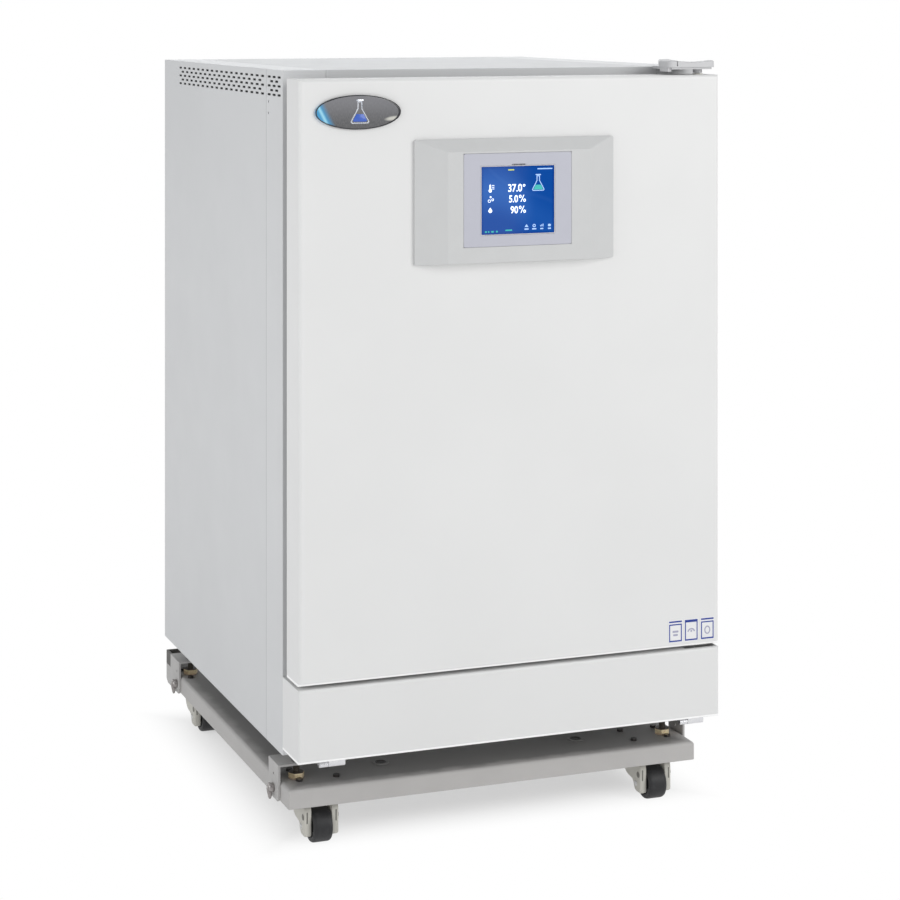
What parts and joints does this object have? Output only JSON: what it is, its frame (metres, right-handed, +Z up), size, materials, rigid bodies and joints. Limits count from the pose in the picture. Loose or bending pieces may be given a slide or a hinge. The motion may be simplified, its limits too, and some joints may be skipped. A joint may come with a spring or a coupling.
{
  "type": "laboratory incubator",
  "caption": "White floor-standing laboratory incubator with hinged outer door, inner glass door, sliding shelves, touch display and a castor base",
  "frame": {"origin": "on the floor under the centre of the machine's overall box", "axes": "+X to the right seen from the front, +Y to the back, +Z up; the door faces -Y"},
  "size_m": [0.7, 0.784, 1.1545],
  "materials": {
    "cabinet_white": "smooth powder coat, satin",
    "door_white": "smooth powder coat, satin",
    "hinge_cover_grey": "satin paint",
    "stainless": "brushed stainless",
    "zinc_steel": "bright zinc plate",
    "yellow_zinc": "yellow zinc plate",
    "base_grey": "textured powder coat",
    "insulation_foam": "mineral wool and foam board",
    "gasket_grey": "soft matte",
    "bezel_grey": "fine moulded texture",
    "membrane_lilac": "printed membrane, satin",
    "screen_blue": "lit display",
    "badge_dark": "domed resin",
    "glass": "clear toughened glass",
    "trim_white": "satin moulding",
    "black_plastic": "moulded, matte",
    "bush_plastic": "acetal",
    "castor_grey": "moulded nylon",
    "tyre_black": "matte rubber",
    "silicone_white": "soft silicone",
    "pcb_green": "board and parts",
    "filter_white": "pleated media",
    "motor_metal": "cast"
  },
  "bodies": {
    "cabinet": {"side_panel_left": "cabinet_white", "side_panel_right": "cabinet_white", "top_panel": "cabinet_white", "front_frame": "cabinet_white", "rear_panel": "cabinet_white", "bottom_pan": "cabinet_white", "cabinet_screws": "zinc_steel", "inner_chamber": "stainless", "chamber_insulation": "insulation_foam", "chamber_trim": "trim_white", "shelf_uprights": "stainless", "shelf_brackets": "stainless", "plenum_cover": "stainless", "hepa_filter": "filter_white", "fan_motor": "motor_metal", "sensor_probes": "stainless", "control_module": "pcb_green", "power_inlet": "black_plastic", "gas_fittings": "yellow_zinc", "top_hinge_bracket": "hinge_cover_grey", "bottom_hinge_bracket": "zinc_steel", "panel_hinge_leaves": "zinc_steel", "base_frame": "base_grey", "castor_plates": "zinc_steel", "base_bolts": "zinc_steel", "foot_clamps": "base_grey", "clamp_screws": "zinc_steel"},
    "outer_door": {"door_skin": "door_white", "door_liner": "trim_white", "door_insulation": "insulation_foam", "door_gasket": "gasket_grey", "hinge_bushes": "bush_plastic", "control_bezel": "bezel_grey", "display_frame": "membrane_lilac", "display_screen": "screen_blue", "door_badge": "badge_dark"},
    "inner_door": {"glass_door_frame": "trim_white", "glass_pane": "glass"},
    "door_latch": {"glass_latch": "black_plastic"},
    "service_panel": {"lower_panel": "door_white", "panel_hinge_knuckles": "zinc_steel"},
    "low_shelf": {"shelf_lower": "stainless"},
    "mid_shelf": {"shelf_middle": "stainless"},
    "top_shelf": {"shelf_upper": "stainless"},
    "water_pan": {"humidity_pan": "stainless"},
    "blower": {"blower_wheel": "black_plastic"},
    "rocker": {"power_switch": "black_plastic"},
    "stopper": {"port_plug": "silicone_white"},
    "foot_fl": {"foot_front_left": "yellow_zinc"},
    "foot_fr": {"foot_front_right": "yellow_zinc"},
    "foot_rl": {"foot_rear_left": "yellow_zinc"},
    "foot_rr": {"foot_rear_right": "yellow_zinc"},
    "swivel_fl": {"castor_fork_fl": "castor_grey"},
    "wheel_fl": {"castor_wheel_fl": "tyre_black"},
    "swivel_fr": {"castor_fork_fr": "castor_grey"},
    "wheel_fr": {"castor_wheel_fr": "tyre_black"},
    "swivel_rl": {"castor_fork_rl": "castor_grey"},
    "wheel_rl": {"castor_wheel_rl": "tyre_black"},
    "swivel_rr": {"castor_fork_rr": "castor_grey"},
    "wheel_rr": {"castor_wheel_rr": "tyre_black"}
  },
  "joints": [
    {"name": "door_hinge", "type": "hinge", "parent": "cabinet", "child": "outer_door", "pos_m": [0.317, -0.3435, 0.7], "axis": [0, 0, 1], "range_deg": [0, 140]},
    {"name": "glass_door_hinge", "type": "hinge", "parent": "cabinet", "child": "inner_door", "pos_m": [0.27, -0.3044, 0.675], "axis": [0, 0, 1], "range_deg": [0, 91.5]},
    {"name": "glass_latch_turn", "type": "hinge", "parent": "inner_door", "child": "door_latch", "pos_m": [-0.272, -0.311, 0.675], "axis": [0, -1, 0], "range_deg": [0, 90]},
    {"name": "lower_panel_hinge", "type": "hinge", "parent": "cabinet", "child": "service_panel", "pos_m": [0, -0.3265, 0.132], "axis": [1, 0, 0], "range_deg": [0, 90]},
    {"name": "shelf_lower_slide", "type": "slide", "parent": "cabinet", "child": "low_shelf", "axis": [0, -1, 0], "range_m": [0, 0.09]},
    {"name": "shelf_middle_slide", "type": "slide", "parent": "cabinet", "child": "mid_shelf", "axis": [0, -1, 0], "range_m": [0, 0.09]},
    {"name": "shelf_upper_slide", "type": "slide", "parent": "cabinet", "child": "top_shelf", "axis": [0, -1, 0], "range_m": [0, 0.09]},
    {"name": "humidity_pan_slide", "type": "slide", "parent": "cabinet", "child": "water_pan", "axis": [0, -1, 0], "range_m": [0, 0.09]},
    {"name": "blower_spin", "type": "hinge", "parent": "cabinet", "child": "blower", "pos_m": [0, -0.02, 0.98], "axis": [0, 0, 1], "continuous": true},
    {"name": "power_switch_rock", "type": "hinge", "parent": "cabinet", "child": "rocker", "pos_m": [-0.23, 0.368, 0.2415], "axis": [1, 0, 0], "range_deg": [-8, 8]},
    {"name": "port_plug_pull", "type": "slide", "parent": "cabinet", "child": "stopper", "axis": [0, 1, 0], "range_m": [0, 0.05]},
    {"name": "foot_adjust_fl", "type": "slide", "parent": "cabinet", "child": "foot_fl", "axis": [0, 0, 1], "range_m": [0, 0.012]},
    {"name": "foot_adjust_fr", "type": "slide", "parent": "cabinet", "child": "foot_fr", "axis": [0, 0, 1], "range_m": [0, 0.012]},
    {"name": "foot_adjust_rl", "type": "slide", "parent": "cabinet", "child": "foot_rl", "axis": [0, 0, 1], "range_m": [0, 0.012]},
    {"name": "foot_adjust_rr", "type": "slide", "parent": "cabinet", "child": "foot_rr", "axis": [0, 0, 1], "range_m": [0, 0.012]},
    {"name": "castor_swivel_fl", "type": "hinge", "parent": "cabinet", "child": "swivel_fl", "pos_m": [-0.275, -0.244, 0.075], "axis": [0, 0, 1], "continuous": true},
    {"name": "castor_roll_fl", "type": "hinge", "parent": "swivel_fl", "child": "wheel_fl", "pos_m": [-0.275, -0.2715, 0.025], "axis": [1, 0, 0], "continuous": true},
    {"name": "castor_swivel_fr", "type": "hinge", "parent": "cabinet", "child": "swivel_fr", "pos_m": [0.275, -0.244, 0.075], "axis": [0, 0, 1], "continuous": true},
    {"name": "castor_roll_fr", "type": "hinge", "parent": "swivel_fr", "child": "wheel_fr", "pos_m": [0.275, -0.2715, 0.025], "axis": [1, 0, 0], "continuous": true},
    {"name": "castor_swivel_rl", "type": "hinge", "parent": "cabinet", "child": "swivel_rl", "pos_m": [-0.289, 0.304, 0.075], "axis": [0, 0, 1], "continuous": true},
    {"name": "castor_roll_rl", "type": "hinge", "parent": "swivel_rl", "child": "wheel_rl", "pos_m": [-0.289, 0.2765, 0.025], "axis": [1, 0, 0], "continuous": true},
    {"name": "castor_swivel_rr", "type": "hinge", "parent": "cabinet", "child": "swivel_rr", "pos_m": [0.289, 0.304, 0.075], "axis": [0, 0, 1], "continuous": true},
    {"name": "castor_roll_rr", "type": "hinge", "parent": "swivel_rr", "child": "wheel_rr", "pos_m": [0.289, 0.2765, 0.025], "axis": [1, 0, 0], "continuous": true}
  ],
  "couplings": [
    {"joint": "glass_door_hinge", "follows": "door_hinge", "ratio": 0.65},
    {"joint": "shelf_lower_slide", "follows": "door_hinge", "m_per_rad": 0.035},
    {"joint": "shelf_middle_slide", "follows": "door_hinge", "m_per_rad": 0.035},
    {"joint": "shelf_upper_slide", "follows": "door_hinge", "m_per_rad": 0.035},
    {"joint": "humidity_pan_slide", "follows": "door_hinge", "m_per_rad": 0.035}
  ]
}
